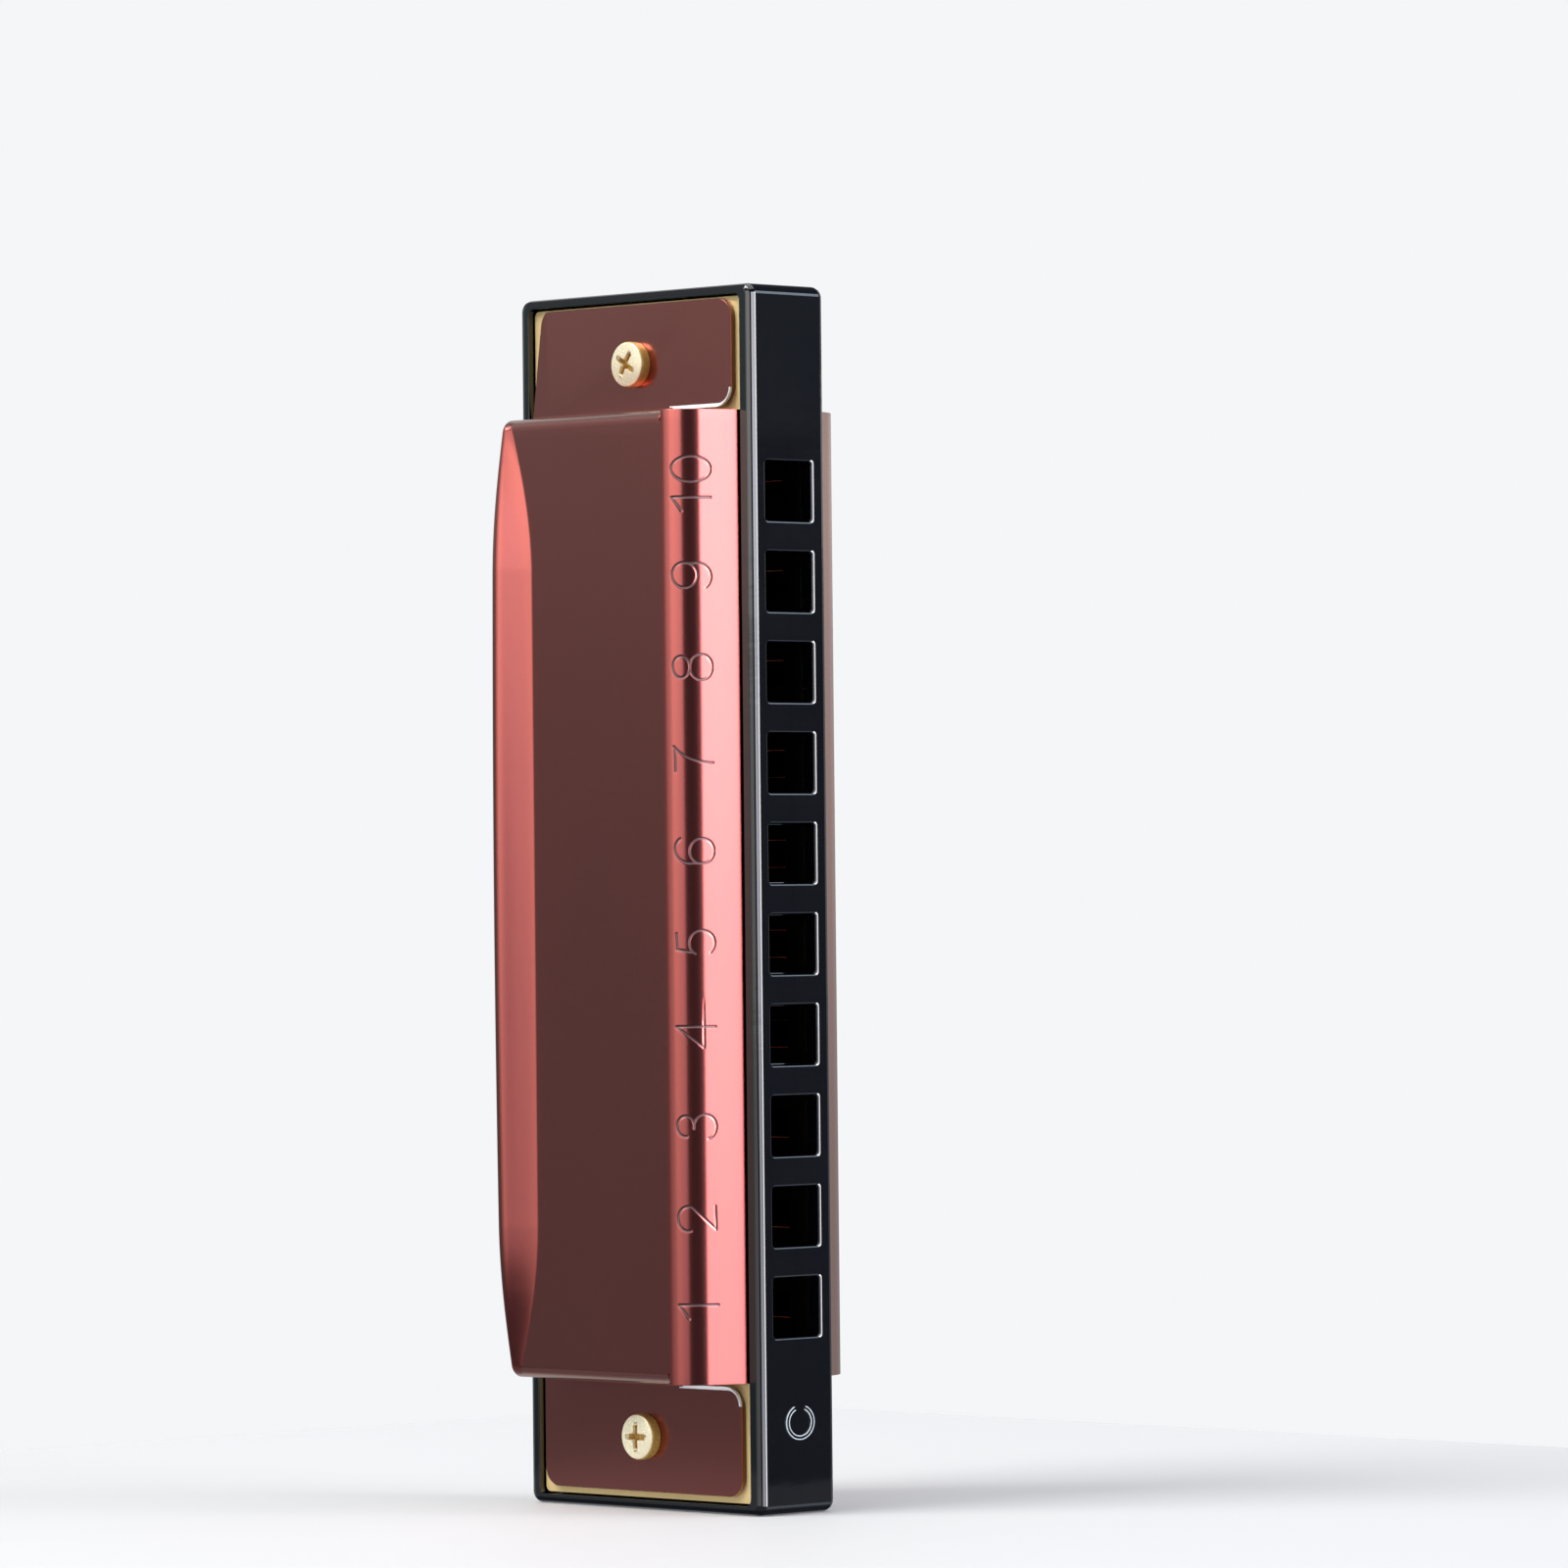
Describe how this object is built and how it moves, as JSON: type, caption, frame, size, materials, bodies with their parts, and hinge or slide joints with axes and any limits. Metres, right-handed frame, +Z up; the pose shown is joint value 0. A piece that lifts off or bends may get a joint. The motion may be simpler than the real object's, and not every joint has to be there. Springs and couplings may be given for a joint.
{
  "type": "diatonic harmonica",
  "caption": "Mouth harmonica: gloss black comb with square holes, brass reed plates with riveted reeds, and pressed rose-brown metal covers held by screws.",
  "frame": {"origin": "centre of the bounding box's low face: the harmonica stands on its low end, as in the picture", "axes": "+Z up along the length, from hole 1 to hole 10; -Y to the mouth side; -X to the numbered upper cover"},
  "size_m": [0.0224, 0.028, 0.1017],
  "materials": {
    "comb": "gloss black moulded ABS",
    "cover": "satin anodised rose-brown",
    "reed_plate": "fine brushed brass",
    "reed": "filed brass",
    "rivet": "bright brass",
    "cover_screw": "bright gold plating",
    "plate_screw": "nickel plating"
  },
  "bodies": {
    "body": {"comb": "comb", "upper_reed_plate": "reed_plate", "lower_reed_plate": "reed_plate", "upper_cover": "cover", "lower_cover": "cover", "upper_cover_screw_1": "cover_screw", "upper_cover_screw_2": "cover_screw", "lower_cover_screw_1": "cover_screw", "lower_cover_screw_2": "cover_screw", "upper_plate_screw_1": "plate_screw", "upper_plate_screw_2": "plate_screw", "upper_plate_screw_3": "plate_screw", "lower_plate_screw_1": "plate_screw", "lower_plate_screw_2": "plate_screw", "lower_plate_screw_3": "plate_screw", "blow_rivet_1": "rivet", "blow_rivet_2": "rivet", "blow_rivet_3": "rivet", "blow_rivet_4": "rivet", "blow_rivet_5": "rivet", "blow_rivet_6": "rivet", "blow_rivet_7": "rivet", "blow_rivet_8": "rivet", "blow_rivet_9": "rivet", "blow_rivet_10": "rivet", "draw_rivet_1": "rivet", "draw_rivet_2": "rivet", "draw_rivet_3": "rivet", "draw_rivet_4": "rivet", "draw_rivet_5": "rivet", "draw_rivet_6": "rivet", "draw_rivet_7": "rivet", "draw_rivet_8": "rivet", "draw_rivet_9": "rivet", "draw_rivet_10": "rivet"},
    "blow_reed_1": {"blow_reed_1": "reed"},
    "blow_reed_2": {"blow_reed_2": "reed"},
    "blow_reed_3": {"blow_reed_3": "reed"},
    "blow_reed_4": {"blow_reed_4": "reed"},
    "blow_reed_5": {"blow_reed_5": "reed"},
    "blow_reed_6": {"blow_reed_6": "reed"},
    "blow_reed_7": {"blow_reed_7": "reed"},
    "blow_reed_8": {"blow_reed_8": "reed"},
    "blow_reed_9": {"blow_reed_9": "reed"},
    "blow_reed_10": {"blow_reed_10": "reed"},
    "draw_reed_1": {"draw_reed_1": "reed"},
    "draw_reed_2": {"draw_reed_2": "reed"},
    "draw_reed_3": {"draw_reed_3": "reed"},
    "draw_reed_4": {"draw_reed_4": "reed"},
    "draw_reed_5": {"draw_reed_5": "reed"},
    "draw_reed_6": {"draw_reed_6": "reed"},
    "draw_reed_7": {"draw_reed_7": "reed"},
    "draw_reed_8": {"draw_reed_8": "reed"},
    "draw_reed_9": {"draw_reed_9": "reed"},
    "draw_reed_10": {"draw_reed_10": "reed"}
  },
  "joints": [
    {"name": "blow_reed_1_swing", "type": "hinge", "parent": "body", "child": "blow_reed_1", "pos_m": [-0.00243, -0.0099, 0.0171], "axis": [0, 0, 1], "range_deg": [-3, 3], "stiffness_Nm_per_rad": 0.02},
    {"name": "blow_reed_2_swing", "type": "hinge", "parent": "body", "child": "blow_reed_2", "pos_m": [-0.00243, -0.0099, 0.0246], "axis": [0, 0, 1], "range_deg": [-3, 3], "stiffness_Nm_per_rad": 0.02},
    {"name": "blow_reed_3_swing", "type": "hinge", "parent": "body", "child": "blow_reed_3", "pos_m": [-0.00243, -0.0099, 0.0321], "axis": [0, 0, 1], "range_deg": [-3, 3], "stiffness_Nm_per_rad": 0.02},
    {"name": "blow_reed_4_swing", "type": "hinge", "parent": "body", "child": "blow_reed_4", "pos_m": [-0.00243, -0.0099, 0.0396], "axis": [0, 0, 1], "range_deg": [-3, 3], "stiffness_Nm_per_rad": 0.02},
    {"name": "blow_reed_5_swing", "type": "hinge", "parent": "body", "child": "blow_reed_5", "pos_m": [-0.00243, -0.0099, 0.0471], "axis": [0, 0, 1], "range_deg": [-3, 3], "stiffness_Nm_per_rad": 0.02},
    {"name": "blow_reed_6_swing", "type": "hinge", "parent": "body", "child": "blow_reed_6", "pos_m": [-0.00243, -0.0099, 0.0546], "axis": [0, 0, 1], "range_deg": [-3, 3], "stiffness_Nm_per_rad": 0.02},
    {"name": "blow_reed_7_swing", "type": "hinge", "parent": "body", "child": "blow_reed_7", "pos_m": [-0.00243, -0.0099, 0.0621], "axis": [0, 0, 1], "range_deg": [-3, 3], "stiffness_Nm_per_rad": 0.02},
    {"name": "blow_reed_8_swing", "type": "hinge", "parent": "body", "child": "blow_reed_8", "pos_m": [-0.00243, -0.0099, 0.0696], "axis": [0, 0, 1], "range_deg": [-3, 3], "stiffness_Nm_per_rad": 0.02},
    {"name": "blow_reed_9_swing", "type": "hinge", "parent": "body", "child": "blow_reed_9", "pos_m": [-0.00243, -0.0099, 0.0771], "axis": [0, 0, 1], "range_deg": [-3, 3], "stiffness_Nm_per_rad": 0.02},
    {"name": "blow_reed_10_swing", "type": "hinge", "parent": "body", "child": "blow_reed_10", "pos_m": [-0.00243, -0.0099, 0.0846], "axis": [0, 0, 1], "range_deg": [-3, 3], "stiffness_Nm_per_rad": 0.02},
    {"name": "draw_reed_1_swing", "type": "hinge", "parent": "body", "child": "draw_reed_1", "pos_m": [0.00397, 0.0067, 0.0171], "axis": [0, 0, 1], "range_deg": [-3, 3], "stiffness_Nm_per_rad": 0.02},
    {"name": "draw_reed_2_swing", "type": "hinge", "parent": "body", "child": "draw_reed_2", "pos_m": [0.00397, 0.00609, 0.0246], "axis": [0, 0, 1], "range_deg": [-3, 3], "stiffness_Nm_per_rad": 0.02},
    {"name": "draw_reed_3_swing", "type": "hinge", "parent": "body", "child": "draw_reed_3", "pos_m": [0.00397, 0.00548, 0.0321], "axis": [0, 0, 1], "range_deg": [-3, 3], "stiffness_Nm_per_rad": 0.02},
    {"name": "draw_reed_4_swing", "type": "hinge", "parent": "body", "child": "draw_reed_4", "pos_m": [0.00397, 0.00487, 0.0396], "axis": [0, 0, 1], "range_deg": [-3, 3], "stiffness_Nm_per_rad": 0.02},
    {"name": "draw_reed_5_swing", "type": "hinge", "parent": "body", "child": "draw_reed_5", "pos_m": [0.00397, 0.00426, 0.0471], "axis": [0, 0, 1], "range_deg": [-3, 3], "stiffness_Nm_per_rad": 0.02},
    {"name": "draw_reed_6_swing", "type": "hinge", "parent": "body", "child": "draw_reed_6", "pos_m": [0.00397, 0.00364, 0.0546], "axis": [0, 0, 1], "range_deg": [-3, 3], "stiffness_Nm_per_rad": 0.02},
    {"name": "draw_reed_7_swing", "type": "hinge", "parent": "body", "child": "draw_reed_7", "pos_m": [0.00397, 0.00303, 0.0621], "axis": [0, 0, 1], "range_deg": [-3, 3], "stiffness_Nm_per_rad": 0.02},
    {"name": "draw_reed_8_swing", "type": "hinge", "parent": "body", "child": "draw_reed_8", "pos_m": [0.00397, 0.00242, 0.0696], "axis": [0, 0, 1], "range_deg": [-3, 3], "stiffness_Nm_per_rad": 0.02},
    {"name": "draw_reed_9_swing", "type": "hinge", "parent": "body", "child": "draw_reed_9", "pos_m": [0.00397, 0.00181, 0.0771], "axis": [0, 0, 1], "range_deg": [-3, 3], "stiffness_Nm_per_rad": 0.02},
    {"name": "draw_reed_10_swing", "type": "hinge", "parent": "body", "child": "draw_reed_10", "pos_m": [0.00397, 0.0012, 0.0846], "axis": [0, 0, 1], "range_deg": [-3, 3], "stiffness_Nm_per_rad": 0.02}
  ]
}
